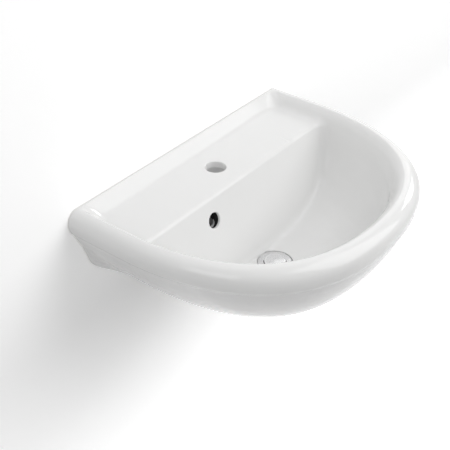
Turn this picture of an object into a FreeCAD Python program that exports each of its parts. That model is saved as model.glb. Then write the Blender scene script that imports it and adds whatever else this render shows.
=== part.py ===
import FreeCAD, Part
import math
import os
import Sketcher

# Wall hung wash basin with tap deck, overflow, waste and wall fixings.
# Frame: x runs along the wall, y = 0 is the wall face and the basin stands out
# towards -y, z is up. The origin is midway between the two wall fixings.

V = FreeCAD.Vector
os.makedirs("parts", exist_ok=True)
doc = FreeCAD.newDocument("wall_hung_basin")

# ------------------------------------------------------------------ sizes, mm
SIZES = [
    ("rim_above_fixings", 75.0, "rim crest above the wall fixings"),
    ("crest_half_width", 254.5, "half width of the rim crest"),
    ("crest_depth", 380.0, "rim crest in front of the wall"),
    ("side_straight", 99.0, "straight run of each side from the wall"),
    ("roll_side", 20.0, "rolled rim beyond the crest at the sides"),
    ("roll_front", 27.5, "rolled rim beyond the crest at the front"),
    ("roll_drop", 22.0, "widest line of the rim below the crest"),
    ("neck_side", 11.5, "neck under the rim beyond the crest at the sides"),
    ("neck_front", 22.0, "neck under the rim beyond the crest at the front"),
    ("neck_drop", 42.0, "neck below the crest"),
    ("belly_half_width", 245.5, "pull of the belly at the sides"),
    ("belly_depth", 387.5, "pull of the belly at the front"),
    ("belly_drop", 98.0, "pull of the belly below the crest"),
    ("keel_half_width", 176.0, "pull of the keel at the sides"),
    ("keel_depth", 330.0, "pull of the keel at the front"),
    ("foot_half_width", 120.0, "half width of the flat underside"),
    ("foot_depth", 262.5, "front of the flat underside"),
    ("body_height", 182.0, "flat underside below the crest"),
    ("rim_land", 0.8, "flat land on the crest"),
    ("wall_land", 3.0, "flat land along the wall"),
    ("lip_side", 15.0, "bowl's side below the lip, inside the crest"),
    ("lip_front", 21.5, "bowl's front below the lip, inside the crest"),
    ("lip_drop", 45.0, "end of the lip below the crest"),
    ("bowl_drop", 163.0, "bowl floor below the crest"),
    ("floor_half_width", 60.0, "half width of the flat floor"),
    ("floor_front", 240.0, "front of the flat floor"),
    ("deck_drop", 23.0, "tap deck below the crest"),
    ("deck_depth", 121.0, "front edge of the tap deck from the wall"),
    ("deck_edge_round", 8.0, "rounding of the deck's front edge"),
    ("bowl_back_run", 0.3, "forward run of the bowl's back wall per mm of drop"),
    ("inner_round", 18.0, "rounding inside the bowl and round the deck"),
    ("deck_thick", 12.0, "thickness of the deck"),
    ("skin_thick", 13.0, "thickness of the skirt and the bowl's back wall"),
    ("plate_thick", 14.0, "thickness of the plate against the wall"),
    ("plate_bottom", 143.0, "bottom of the wall plate below the crest"),
    ("skirt_bottom", 130.0, "arched bottom of the skirt below the crest"),
    ("heel_bottom", 170.0, "bottom of the heels at the wall below the crest"),
    ("heel_depth", 48.0, "heels in front of the wall"),
    ("heel_flare", 12.0, "outward flare of the heels at the wall"),
    ("tap_hole_dia", 35.0, "tap hole"),
    ("tap_hole_depth", 68.6, "tap hole centre in front of the wall"),
    ("overflow_dia", 26.0, "overflow hole"),
    ("overflow_left", 82.0, "overflow centre to the left of the middle"),
    ("overflow_drop", 60.5, "overflow centre below the crest"),
    ("duct_dia", 20.0, "bore of the overflow duct"),
    ("duct_wall", 8.0, "wall of the overflow duct"),
    ("duct_back", 24.0, "duct axis behind the bowl's back wall"),
    ("duct_foot_drop", 188.0, "duct mouth in the outlet below the crest"),
    ("waste_depth", 197.0, "waste centre in front of the wall"),
    ("outlet_dia", 46.0, "outlet bore"),
    ("outlet_boss_dia", 84.0, "boss round the outlet"),
    ("outlet_boss_drop", 206.0, "bottom of the outlet boss below the crest"),
    ("waste_seat_dia", 62.0, "recess for the waste flange"),
    ("waste_seat_deep", 4.0, "depth of the recess"),
    ("stud_half_pitch", 140.0, "half the pitch of the wall fixings"),
    ("stud_hole_dia", 22.0, "fixing hole in the wall plate"),
    ("groove_right", 150.0, "drain groove to the right of the middle"),
    ("groove_radius", 7.0, "radius of the drain groove"),
    ("groove_deep", 2.6, "depth of the drain groove at the deck's edge"),
    ("groove_length", 32.0, "length of the drain groove on the deck"),
    ("flange_radius", 29.5, "waste flange"),
    ("flange_thick", 3.0, "thickness of the waste flange"),
    ("gasket_thick", 1.0, "gasket under the waste flange"),
    ("tail_radius", 20.95, "waste tail, G 1 1/4"),
    ("tail_bore", 17.45, "bore radius of the waste tail"),
    ("tail_drop", 83.0, "end of the waste tail below its flange"),
    ("tail_free", 18.0, "end of the tail's thread kept free for the trap"),
    ("seat_radius", 19.8, "plug seat at the flange face"),
    ("slot_width", 16.0, "overflow slots in the tail"),
    ("slot_top", 15.0, "top of the slots below the flange face"),
    ("slot_bottom", 33.0, "bottom of the slots below the flange face"),
    ("bar_top", 44.0, "top of the cross bar below the flange face"),
    ("bar_thick", 6.0, "cross bar height and width"),
    ("hub_radius", 7.5, "hub of the cross bar"),
    ("hub_bore", 4.0, "threaded bore in the hub, M8"),
    ("cap_radius", 18.8, "plug cap"),
    ("cap_crown", 4.2, "crown of the plug cap above the flange face"),
    ("cap_under", 0.4, "underside of the plug cap above the flange face"),
    ("cap_boss", 6.5, "boss under the plug cap"),
    ("stem_radius", 3.5, "plug stem"),
    ("collar_radius", 4.7, "collar on the stem"),
    ("collar_drop", 30.0, "collar below the flange face"),
    ("cartridge_radius", 7.0, "cartridge"),
    ("cartridge_bore", 4.9, "bore of the cartridge"),
    ("lid_top", 12.0, "top of the cartridge lid below the flange face"),
    ("spring_radius", 3.7, "mean radius of the spring"),
    ("spring_wire", 0.9, "spring wire"),
    ("spring_turns", 5.0, "turns of the spring"),
    ("backnut_across", 54.0, "back nut across flats"),
    ("backnut_thick", 10.0, "thickness of the back nut"),
    ("seal_under_boss", 8.0, "outlet seal under the boss"),
    ("slip_washer_thick", 2.0, "slip washer"),
    ("stud_radius", 5.0, "hanger bolt's shank in the wall, M10"),
    ("stud_thread", 4.5, "hanger bolt's machine thread at its mean radius, M10"),
    ("stud_in_wall", 74.0, "hanger bolt inside the wall"),
    ("stud_out", 46.0, "hanger bolt in front of the wall"),
    ("bush_shank", 10.0, "shank radius of the fixing bush"),
    ("bush_flange", 17.0, "flange radius of the fixing bush"),
    ("bush_thick", 4.0, "flange of the fixing bush"),
    ("washer_radius", 14.0, "steel washer"),
    ("washer_thick", 2.0, "steel washer thickness"),
    ("stud_nut_across", 17.0, "fixing nut across flats"),
    ("stud_nut_thick", 8.0, "fixing nut thickness"),
    ("nut_cap_radius", 13.0, "cover cap of the fixing nut"),
]

sheet = doc.addObject("Spreadsheet::Sheet", "sizes")
for row, (alias, amount, note) in enumerate(SIZES, 1):
    sheet.set("A%d" % row, note)
    sheet.set("B%d" % row, str(amount))
    sheet.setAlias("B%d" % row, alias)
doc.recompute()
ALIASES = [alias for alias, amount, note in SIZES]


def size(alias):
    """The number in the sheet's cell of that name."""
    return float(getattr(sheet, alias))


def number(rule):
    """The value of a rule: terms of names or numbers joined by + and -,
    each perhaps scaled by * or /, all parted by spaces."""
    total, term, sign, scale = 0.0, None, 1.0, None
    for word in rule.split():
        if word in "+-":
            total, term, sign = total + sign * (term or 0.0), None, (1.0 if word == "+" else -1.0)
        elif word in "*/":
            scale = word
        else:
            figure = size(word) if word in ALIASES else float(word)
            if scale == "*":
                term = term * figure
            elif scale == "/":
                term = term / figure
            else:
                term = figure
            scale = None
    return total + sign * (term or 0.0)


def rule_text(rule):
    """The rule as an expression on the sheet."""
    return " ".join("sizes." + word if word in ALIASES else word for word in rule.split())


def bind(thing, prop, rule):
    thing.setExpression(prop, rule_text(rule))


def place(thing, x_rule, y_rule, z_rule):
    """Puts a piece's origin at a point of the basin's frame."""
    bind(thing, "Placement.Base.x", x_rule)
    bind(thing, "Placement.Base.y", y_rule)
    bind(thing, "Placement.Base.z", z_rule)


# ------------------------------------------------------------- sketch helpers
def plane_of(body, role):
    return [f for f in body.Origin.OriginFeatures if f.Role == role][0]


def new_body(label):
    body = doc.addObject("PartDesign::Body", label)
    body.Label = label
    return body


def new_sketch(body, name, role, offset_rule=None):
    sketch = body.newObject("Sketcher::SketchObject", name)
    sketch.AttachmentSupport = (plane_of(body, role), [""])
    sketch.MapMode = "FlatFace"
    if offset_rule:
        bind(sketch, "AttachmentOffset.Base.z", offset_rule)
    return sketch


def draw(sketch, corners):
    """A closed outline through corners given as pairs of rules (across, up)."""
    pts = [V(number(a), number(b), 0) for a, b in corners]
    first = sketch.GeometryCount
    count = len(pts)
    for i in range(count):
        sketch.addGeometry(Part.LineSegment(pts[i], pts[(i + 1) % count]), False)
    for i in range(count):
        sketch.addConstraint(Sketcher.Constraint("Coincident", first + i, 2, first + (i + 1) % count, 1))
    for i, (a, b) in enumerate(corners):
        for kind, rule, here in (("DistanceX", a, pts[i].x), ("DistanceY", b, pts[i].y)):
            if rule == "0":
                line = -2 if kind == "DistanceX" else -1
                sketch.addConstraint(Sketcher.Constraint("PointOnObject", first + i, 1, line))
                continue
            at = sketch.addConstraint(Sketcher.Constraint(kind, -1, 1, first + i, 1, here))
            if any(word in ALIASES for word in rule.split()):
                bind(sketch, "Constraints[%d]" % at, rule)


def draw_circle(sketch, radius_rule):
    """A circle round the sketch's origin."""
    at = sketch.addGeometry(Part.Circle(V(0, 0, 0), V(0, 0, 1), number(radius_rule)), False)
    sketch.addConstraint(Sketcher.Constraint("Coincident", at, 3, -1, 1))
    ruled = sketch.addConstraint(Sketcher.Constraint("Radius", at, number(radius_rule)))
    bind(sketch, "Constraints[%d]" % ruled, radius_rule)


def turned(label, corners, role="XZ_Plane"):
    """A body turned round the vertical axis of its sketch."""
    body = new_body(label)
    sketch = new_sketch(body, label + "_profile", role)
    draw(sketch, corners)
    turn = body.newObject("PartDesign::Revolution", label + "_turn")
    turn.Profile = sketch
    turn.ReferenceAxis = (sketch, ["V_Axis"])
    turn.Angle = 360.0
    body.Tip = turn
    return body


def hexagon(across):
    """The six corners of a hexagon across flats, as rules."""
    return [
        (across + " / 1.7320508", "0"),
        (across + " / 3.4641016", across + " / 2"),
        ("0 - " + across + " / 3.4641016", across + " / 2"),
        ("0 - " + across + " / 1.7320508", "0"),
        ("0 - " + across + " / 3.4641016", "0 - " + across + " / 2"),
        (across + " / 3.4641016", "0 - " + across + " / 2"),
    ]


def hex_nut(label, role, across, bore, start_rule, thick_rule):
    """A nut padded along the sketch plane's normal, corners turned off at 30 degrees."""
    body = new_body(label)
    sketch = new_sketch(body, label + "_hexagon", role, start_rule)
    draw(sketch, hexagon(across))
    draw_circle(sketch, bore)
    pad = body.newObject("PartDesign::Pad", label + "_pad")
    pad.Profile = sketch
    bind(pad, "Length", thick_rule)
    body.Tip = pad
    return body


# --------------------------------------------------------------- ceramic skin
KAPPA = 0.5522847          # cubic arc of a quarter circle
SIDE_PULL = 0.512          # how far the side tangent pulls the corner forward
FRONT_PULL = 0.768         # how far the front tangent pulls the corner sideways


def sheet_of(rows):
    """A face whose poles are the rows of points."""
    patch = Part.BezierSurface()
    patch.increase(max(1, len(rows) - 1), max(1, len(rows[0]) - 1))
    for i, row in enumerate(rows, 1):
        for j, pole in enumerate(row, 1):
            patch.setPole(i, j, pole)
    return patch.toShape()


def plan_pieces(width, depth, back, corner, level):
    """The poles of one plan outline, right half, from the middle of the wall side
    round to the middle of the front. The outline is straight along the wall, has a
    rounded back corner where corner is not 0, runs straight along the side and
    then sweeps round the front."""
    straight = size("side_straight")
    run = depth - straight
    pieces = []
    if corner > 0:
        pieces.append([V(0, -back, level), V(width - corner, -back, level)])
        pieces.append([V(width - corner, -back, level), V(width - corner + KAPPA * corner, -back, level),
                       V(width, -back - corner + KAPPA * corner, level), V(width, -back - corner, level)])
        pieces.append([V(width, -back - corner, level), V(width, -straight, level)])
    else:
        pieces.append([V(width, -back, level), V(width, -straight, level)])
    pieces.append([V(width, -straight, level), V(width, -straight - SIDE_PULL * run, level),
                   V(FRONT_PULL * width, -depth, level), V(0, -depth, level)])
    return pieces


def mirrored(points):
    return [V(-p.x, p.y, p.z) for p in points]


def curve(points):
    if len(points) == 2:
        return Part.LineSegment(points[0], points[1]).toShape()
    arc = Part.BezierCurve()
    arc.setPoles(points)
    return arc.toShape()


def halved(stations, share):
    """The two parts of a segment, cut at a share of its run."""
    rows, left, right = [tuple(s) for s in stations], [], []
    while rows:
        left.append(rows[0])
        right.insert(0, rows[-1])
        rows = [tuple(p + share * (q - p) for p, q in zip(a, b)) for a, b in zip(rows, rows[1:])]
    return left, right


def strips(stations, count):
    """The same segment as a number of narrow strips."""
    out = []
    for left in range(count, 1, -1):
        piece, stations = halved(stations, 1.0 / left)
        out.append(piece)
    return out + [stations]


def stacked(segments):
    """A closed solid from segments, each a list of stations (half width, depth,
    back, corner, level) whose poles pull the section between its two ends."""
    faces = []
    segments = [strip for segment in segments for strip in strips(segment, 8 if len(segment) > 2 else 1)]
    for stations in segments:
        outlines = [plan_pieces(*station) for station in stations]
        for k in range(len(outlines[0])):
            rows = [outline[k] for outline in outlines]
            faces.append(sheet_of(rows))
            faces.append(sheet_of([mirrored(row) for row in rows]))
    for station in (segments[0][0], segments[-1][-1]):
        half = plan_pieces(*station)
        edges = [curve(piece) for piece in half] + [curve(mirrored(piece)) for piece in half]
        if station[3] == 0:
            edges.append(curve([V(-station[0], -station[2], station[4]), V(station[0], -station[2], station[4])]))
        faces.append(Part.Face(Part.Wire(Part.__sortEdges__(edges))))
    if segments[0][0][3] == 0:
        edges = []
        for stations in segments:
            up = [V(s[0], -s[2], s[4]) for s in stations]
            edges += [curve(up), curve(mirrored(up))]
        for station in (segments[0][0], segments[-1][-1]):
            edges.append(curve([V(-station[0], -station[2], station[4]), V(station[0], -station[2], station[4])]))
        faces.append(Part.Face(Part.Wire(Part.__sortEdges__(edges))))
    skin = Part.makeCompound(faces)
    skin.sewShape(0.001)
    solid = Part.Solid(skin.Shells[0])
    if solid.Volume < 0:
        solid.reverse()
    return solid


def outer_segments(inset=0.0, top=None):
    """The outside of the basin, drawn in by inset."""
    w, d = size("crest_half_width") - inset, size("crest_depth") - inset
    drop, neck = size("roll_drop"), size("neck_drop")
    wide, out = size("roll_side"), size("roll_front")
    slim, back = size("neck_side"), size("neck_front")
    height = size("body_height")
    roll = [
        (w, d, 0.0, 0.0, 0.0),
        (w + KAPPA * wide, d + KAPPA * out, 0.0, 0.0, 0.0),
        (w + wide, d + out, 0.0, 0.0, -drop + KAPPA * drop),
        (w + wide, d + out, 0.0, 0.0, -drop),
    ]
    turn = [
        (w + wide, d + out, 0.0, 0.0, -drop),
        (w + wide, d + out, 0.0, 0.0, -drop - KAPPA * (neck - drop)),
        (w + slim + (1 - KAPPA) * (wide - slim), d + back + (1 - KAPPA) * (out - back), 0.0, 0.0, -neck),
        (w + slim, d + back, 0.0, 0.0, -neck),
    ]
    belly = [
        (w + slim, d + back, 0.0, 0.0, -neck),
        (size("belly_half_width") - inset, size("belly_depth") - inset, 0.0, 0.0, -size("belly_drop")),
        (size("keel_half_width") - inset, size("keel_depth") - inset, 0.0, 0.0, -height),
        (size("foot_half_width") - inset, size("foot_depth") - inset, 0.0, 0.0, -height),
    ]
    return [roll, turn, belly]


def inner_segments():
    """The open inside of the basin, with a short run above the crest."""
    land = size("rim_land")
    w, d = size("crest_half_width") - land, size("crest_depth") - land
    wb, db = size("crest_half_width") - size("lip_side"), size("crest_depth") - size("lip_front")
    lip, floor = size("lip_drop"), size("bowl_drop")
    back = size("wall_land")
    slope = 0.83
    wf, df = size("floor_half_width"), size("floor_front")
    above = [(w, d, back, 12.0, 6.0), (w, d, back, 12.0, 0.0)]
    rim = [
        (w, d, back, 12.0, 0.0),
        (w - 0.62 * (w - wb), d - 0.45 * (d - db), back + slope * 0.09 * lip, 20.0, -0.09 * lip),
        (wb, db, back + slope * 0.4 * lip, 30.0, -0.4 * lip),
        (wb, db, back + slope * lip, 34.0, -lip),
    ]
    fall = floor - lip
    bowl = [
        (wb, db, back + slope * lip, 34.0, -lip),
        (wb, db, back + slope * lip + 5, 34.0, -lip - 0.55 * fall),
        (wb - 53.5, db - 18.5, back + slope * lip + 10, 30.0, -floor + 0.04 * fall),
        (wf, df, back + slope * lip + 15, 24.0, -floor),
    ]
    return [above, rim, bowl]


def slab(corners, half):
    """A straight slab across the basin through the (y, z) corners."""
    pts = [V(-half, y, z) for y, z in corners]
    return Part.Face(Part.makePolygon(pts + [pts[0]])).extrude(V(2 * half, 0, 0))


def shaped(label, solid):
    """A document object for a solid drawn in the basin's crest frame."""
    thing = doc.addObject("Part::Feature", label)
    thing.Label = label
    thing.Shape = solid
    return thing


# ------------------------------------------------- basin body, glazed ceramic
width_all = size("crest_half_width") + size("roll_side")
deck_top, deck_front = -size("deck_drop"), -size("deck_depth")
lean, edge = size("bowl_back_run"), size("deck_edge_round")
wall_turn = (1 + lean * lean) ** 0.5
low = -size("body_height") - 40.0


def back_wall_at(level, behind=0.0):
    """y of the bowl's back wall at a level, or of a plane parallel to it behind."""
    return deck_front - lean * (deck_top - level) + behind * wall_turn


# Deck block: the ceramic behind the bowl, its front edge rounded.
tangent = edge * (wall_turn - lean)
arc_start = V(0, deck_front + tangent, deck_top)
arc_end = V(0, deck_front - tangent * lean / wall_turn, deck_top - tangent / wall_turn)
arc_heart = V(0, deck_front + tangent, deck_top - edge)
half_way = (arc_start + arc_end) * 0.5 - arc_heart
half_way.normalize()
block_wire = Part.Wire([
    Part.LineSegment(V(0, 10, deck_top), arc_start).toShape(),
    Part.Arc(arc_start, arc_heart + half_way * edge, arc_end).toShape(),
    Part.LineSegment(arc_end, V(0, back_wall_at(low), low)).toShape(),
    Part.LineSegment(V(0, back_wall_at(low), low), V(0, 10, low)).toShape(),
    Part.LineSegment(V(0, 10, low), V(0, 10, deck_top)).toShape(),
])
block = Part.Face(block_wire).extrude(V(2 * width_all, 0, 0))
block.translate(V(-width_all, 0, 0))

outer = stacked(outer_segments())
inner = stacked(inner_segments())
void = inner.cut(block)
rounded = []
for edge_line in void.Edges:
    box = edge_line.BoundBox
    along_x = box.YLength < 0.5 and box.ZLength < 0.5
    on_deck = abs(box.ZMin - deck_top) < 0.05 and abs(box.ZMax - deck_top) < 0.05
    mid = edge_line.valueAt((edge_line.FirstParameter + edge_line.LastParameter) / 2)
    behind_bowl = abs(mid.y - back_wall_at(mid.z)) < edge and mid.z < deck_top + 0.01
    in_front = mid.y < deck_front - 1.0 and along_x and mid.z > -size("bowl_drop") + 1.0
    if along_x and behind_bowl and mid.z > -size("bowl_drop") + 0.5:
        continue
    if (on_deck and mid.y > deck_front - 2.0) or (behind_bowl and not in_front):
        rounded.append(edge_line)
void = void.makeFillet(size("inner_round"), rounded)
void.fix(0.01, 0.01, 0.01)


# Service space behind the bowl, open below, between the wall plate and the bowl.
plate, skin = size("plate_thick"), size("skin_thick")
roof = deck_top - size("deck_thick")
service = slab([
    (-plate, roof),
    (back_wall_at(roof, skin), roof),
    (back_wall_at(low, skin), low),
    (10, low),
    (10, -size("plate_bottom")),
    (-plate, -size("plate_bottom")),
], width_all)
service = stacked(outer_segments(skin)).common(service)


def skin_at(level):
    """Half width of the outside at a level of the belly."""
    a = size("crest_half_width") + size("neck_side"), -size("neck_drop")
    b = size("belly_half_width"), -size("belly_drop")
    c = size("keel_half_width"), -size("body_height")
    e = size("foot_half_width"), -size("body_height")
    near, far = 0.0, 1.0
    for step in range(40):
        t = (near + far) / 2
        k = ((1 - t) ** 3, 3 * t * (1 - t) ** 2, 3 * t * t * (1 - t), t ** 3)
        if sum(q * p[1] for q, p in zip(k, (a, b, c, e))) > level:
            near = t
        else:
            far = t
    return sum(q * p[0] for q, p in zip(k, (a, b, c, e)))


# Heels: the skirt swells outwards where it meets the wall at its lowest part.
heel_low = size("heel_bottom")
heel_levels = [(-0.41, 0.0), (-0.48, 0.3), (-0.54, 0.55), (-0.61, 0.93), (-0.68, 1.32), (-0.75, 1.45),
               (-0.82, 1.3), (-0.92, 1.2), (-1.0, 1.35)]
flare = size("heel_flare")


def heel_band(y, part_of):
    """The heel's section: the flared skin outside, a line within the skin inside."""
    outside = [V(skin_at(f * heel_low) - 0.8 + part_of * (g * flare), y, f * heel_low) for f, g in heel_levels]
    inside = [V(skin_at(f * heel_low) - 0.9 * skin, y, f * heel_low) for f, g in reversed(heel_levels)]
    return Part.makePolygon(outside + inside + [outside[0]])


heel = Part.makeLoft([heel_band(0.0, 1.0), heel_band(-size("heel_depth"), 0.0)], True, True)
heels = [heel, heel.mirror(V(0, 0, 0), V(1, 0, 0))]

# Arch: the skirt's lower edge rises between each heel and the bowl.
arch_top, heel_front = -size("skirt_bottom"), -size("heel_depth")
arch = slab([
    (10, -heel_low),
    (heel_front + 6, -heel_low),
    (heel_front - 8, arch_top - 8),
    (heel_front - 18, arch_top),
    (back_wall_at(arch_top, skin) + 20, arch_top),
    (back_wall_at(arch_top, skin) + 10, arch_top - 8),
    (back_wall_at(low, skin) + 8, low),
    (10, low),
], width_all)

# Overflow duct: from the hole in the bowl's back wall down to the outlet bore.
behind = V(0, 1, -lean) * (1 / wall_turn)
mouth = V(-size("overflow_left"), back_wall_at(-size("overflow_drop")), -size("overflow_drop"))
duct_top = mouth + behind * size("duct_back")
turn_level = -size("body_height") + 10
duct_turn = V(-10, back_wall_at(turn_level), turn_level) + behind * size("duct_back")
outlet_heart = V(0, -size("waste_depth"), 0)
duct_end = V(0, outlet_heart.y + size("outlet_dia") * 0.3, -size("duct_foot_drop"))
duct_path = [duct_top, duct_turn, duct_end]


def pipe(path, radius):
    """A round pipe along straight runs with ball joints."""
    shape = Part.makeSphere(radius, path[0])
    for a, b in zip(path, path[1:]):
        run = b - a
        shape = shape.fuse([Part.makeCylinder(radius, run.Length, a, run), Part.makeSphere(radius, b)])
    return shape


duct_bore = pipe(duct_path, size("duct_dia") / 2)
duct_rib = pipe(duct_path[:2], size("duct_dia") / 2 + size("duct_wall"))
rib_run = duct_end - duct_turn
duct_rib = duct_rib.fuse(Part.makeCylinder(size("duct_dia") / 2 + size("duct_wall"), rib_run.Length, duct_turn, rib_run))
boss_drop = size("outlet_boss_drop")
boss = Part.makeCylinder(size("outlet_boss_dia") / 2, boss_drop - size("body_height") + 8, outlet_heart - V(0, 0, boss_drop))

# Drain groove: a shallow channel from the deck over its front edge.
groove_fall = size("groove_deep") / size("groove_length")
groove_start = V(size("groove_right"), deck_front + size("groove_length"), deck_top + size("groove_radius"))
groove_way = V(0, -1, -groove_fall)
groove = Part.makeCylinder(size("groove_radius"), size("groove_length") + 30, groove_start, groove_way)

form = outer.cut(service)
form = form.fuse([duct_rib, boss] + heels)
form = form.cut([void, arch, duct_bore, groove])
basin_form = doc.addObject("Part::Feature", "basin_form")
basin_form.Shape = form


def drill(name, radius_rule, height, base, axis=V(0, 0, 1)):
    """A cylinder that cuts a round hole, from its base along an axis."""
    tool = doc.addObject("Part::Cylinder", name)
    bind(tool, "Radius", radius_rule)
    tool.Height = height
    tool.Placement = FreeCAD.Placement(base, FreeCAD.Rotation(V(0, 0, 1), axis))
    return tool


def countersink(name, radius_rule, ease, base, axis=V(0, 0, 1)):
    """A cone that eases the rim of a hole; its base is the face of the hole."""
    tool = doc.addObject("Part::Cone", name)
    bind(tool, "Radius1", radius_rule)
    bind(tool, "Radius2", radius_rule + " + %g" % (2 * ease))
    tool.Height = 2 * ease
    start = V(axis).normalize() * ease
    tool.Placement = FreeCAD.Placement(base - start, FreeCAD.Rotation(V(0, 0, 1), axis))
    return tool


tap_at = V(0, -size("tap_hole_depth"), deck_top)
plate_middle = -size("rim_above_fixings")
stud_left = V(-size("stud_half_pitch"), -plate - 6, plate_middle)
stud_right = V(size("stud_half_pitch"), -plate - 6, plate_middle)
outlet_at = V(0, -size("waste_depth"), -boss_drop - 5)
seat_at = V(0, -size("waste_depth"), -size("bowl_drop") - size("waste_seat_deep"))
tools = [
    drill("tap_hole", "tap_hole_dia / 2", size("deck_thick") + 10, tap_at - V(0, 0, size("deck_thick") + 5)),
    countersink("tap_hole_rim", "tap_hole_dia / 2", 1.5, tap_at),
    drill("overflow_hole", "overflow_dia / 2", 26.0, mouth - behind * 10, behind),
    countersink("overflow_rim", "overflow_dia / 2", 1.5, mouth, behind * -1),
    drill("outlet", "outlet_dia / 2", boss_drop - size("bowl_drop") + 15, outlet_at),
    drill("waste_seat", "waste_seat_dia / 2", 16.0, seat_at),
    drill("stud_hole_left", "stud_hole_dia / 2", plate + 12, stud_left, V(0, 1, 0)),
    drill("stud_hole_right", "stud_hole_dia / 2", plate + 12, stud_right, V(0, 1, 0)),
]
holes = doc.addObject("Part::MultiFuse", "basin_holes")
holes.Shapes = tools
basin = doc.addObject("Part::Cut", "basin_body")
basin.Label = "basin_body"
basin.Base = basin_form
basin.Tool = holes
bind(basin, "Placement.Base.z", "rim_above_fixings")

# ------------------------------------------------------------------- waste set
# Drawn about the waste's axis with the flange face at 0, the tail below it.
waste = turned("waste_body", [
    ("tail_bore", "0 - tail_drop"),
    ("tail_radius - 0.8", "0 - tail_drop"),
    ("tail_radius", "1 - tail_drop"),
    ("tail_radius", "tail_free - tail_drop"),
    ("tail_radius - 0.6", "tail_free - tail_drop"),
    ("tail_radius - 0.6", "1.4 + tail_free - tail_drop"),
    ("tail_radius", "1.4 + tail_free - tail_drop"),
    ("tail_radius", "0 - flange_thick"),
    ("flange_radius", "0 - flange_thick"),
    ("flange_radius", "1.4 - flange_thick"),
    ("flange_radius - 0.5", "-0.6"),
    ("flange_radius - 1.8", "-0.1"),
    ("seat_radius + 0.6", "0.0"),
    ("seat_radius", "-0.2"),
    ("tail_bore + 0.5", "-2.8"),
    ("tail_bore", "-5.0"),
])
slots = new_sketch(waste, "waste_slots", "XZ_Plane")
draw(slots, [
    ("slot_width / 2", "0 - slot_bottom"),
    ("slot_width / 2", "0 - slot_top"),
    ("0 - slot_width / 2", "0 - slot_top"),
    ("0 - slot_width / 2", "0 - slot_bottom"),
])
slot_cut = waste.newObject("PartDesign::Pocket", "waste_slot_cut")
slot_cut.Profile = slots
slot_cut.Midplane = True
slot_cut.Length = 60.0
waste.Tip = slot_cut
bar = new_sketch(waste, "waste_bar", "XY_Plane", "0 - bar_top - bar_thick")
draw(bar, [
    ("tail_bore + 1", "bar_thick / 2"),
    ("0 - tail_bore - 1", "bar_thick / 2"),
    ("0 - tail_bore - 1", "0 - bar_thick / 2"),
    ("tail_bore + 1", "0 - bar_thick / 2"),
])
bar_pad = waste.newObject("PartDesign::Pad", "waste_bar_pad")
bar_pad.Profile = bar
bind(bar_pad, "Length", "bar_thick")
hub = new_sketch(waste, "waste_hub", "XY_Plane", "0 - bar_top - bar_thick")
draw_circle(hub, "hub_radius")
hub_pad = waste.newObject("PartDesign::Pad", "waste_hub_pad")
hub_pad.Profile = hub
bind(hub_pad, "Length", "bar_thick")
hub_hole = new_sketch(waste, "waste_hub_bore", "XY_Plane", "0 - bar_top - bar_thick")
draw_circle(hub_hole, "hub_bore")
hub_cut = waste.newObject("PartDesign::Pocket", "waste_hub_cut")
hub_cut.Profile = hub_hole
hub_cut.Reversed = True
hub_cut.Length = 20.0
waste.Tip = hub_cut

gasket = turned("waste_top_seal", [
    ("tail_radius + 0.3", "0 - flange_thick - gasket_thick"),
    ("flange_radius - 1", "0 - flange_thick - gasket_thick"),
    ("flange_radius - 1", "0 - flange_thick"),
    ("tail_radius + 0.3", "0 - flange_thick"),
])
boss_face = "bowl_drop - outlet_boss_drop"
outlet_seal = turned("waste_bottom_seal", [
    ("tail_radius + 0.1", boss_face + " - seal_under_boss"),
    ("28.0", boss_face + " - seal_under_boss"),
    ("30.5", boss_face + " - 5"),
    ("30.5", boss_face),
    ("outlet_dia / 2 - 0.1", boss_face),
    ("outlet_dia / 2 - 0.7", boss_face + " + 7"),
    ("tail_radius + 0.1", boss_face + " + 7"),
])
slip = turned("waste_slip_washer", [
    ("tail_radius + 0.2", boss_face + " - seal_under_boss - slip_washer_thick"),
    ("29.0", boss_face + " - seal_under_boss - slip_washer_thick"),
    ("29.0", boss_face + " - seal_under_boss"),
    ("tail_radius + 0.2", boss_face + " - seal_under_boss"),
])
nut_foot = boss_face + " - seal_under_boss - slip_washer_thick - backnut_thick"
backnut = hex_nut("waste_backnut", "XY_Plane", "backnut_across", "tail_radius", nut_foot, "backnut_thick")

# Plug: cap, seal and stem, drawn in the closed position, seal on the seat.
cap = turned("plug_cap", [
    ("0", "cap_crown - 5.9"),
    ("3.0", "cap_crown - 5.9"),
    ("3.0", "cap_under - 6.4"),
    ("cap_boss", "cap_under - 6.4"),
    ("cap_boss", "cap_under"),
    ("cap_radius", "cap_under"),
    ("cap_radius", "cap_crown - 2.2"),
    ("cap_radius - 1.0", "cap_crown - 1.1"),
    ("cap_radius - 3.4", "cap_crown - 0.6"),
    ("0", "cap_crown"),
])
seal = turned("plug_seal", [
    ("cap_boss", "cap_under - 2.3"),
    ("seat_radius - 2.6", "cap_under - 2.3"),
    ("seat_radius - 1.6", "cap_under - 1.8"),
    ("seat_radius - 1.0", "cap_under - 0.7"),
    ("seat_radius - 1.2", "cap_under"),
    ("cap_boss", "cap_under"),
])
stem = turned("plug_stem", [
    ("0", "0 - collar_drop - 7"),
    ("1.6", "0 - collar_drop - 7"),
    ("2.0", "0 - collar_drop - 6.6"),
    ("2.0", "0 - collar_drop - 3"),
    ("collar_radius", "0 - collar_drop - 3"),
    ("collar_radius", "0 - collar_drop"),
    ("stem_radius", "0 - collar_drop"),
    ("stem_radius", "cap_under - 6.4"),
    ("3.0", "cap_under - 6.4"),
    ("3.0", "cap_crown - 5.9"),
    ("0", "cap_crown - 5.9"),
])
sleeve = turned("plug_ratchet", [
    ("stem_radius", "0 - collar_drop"),
    ("collar_radius - 0.1", "0 - collar_drop"),
    ("collar_radius - 0.1", "5.6 - collar_drop"),
    ("stem_radius", "5.6 - collar_drop"),
])

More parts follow.
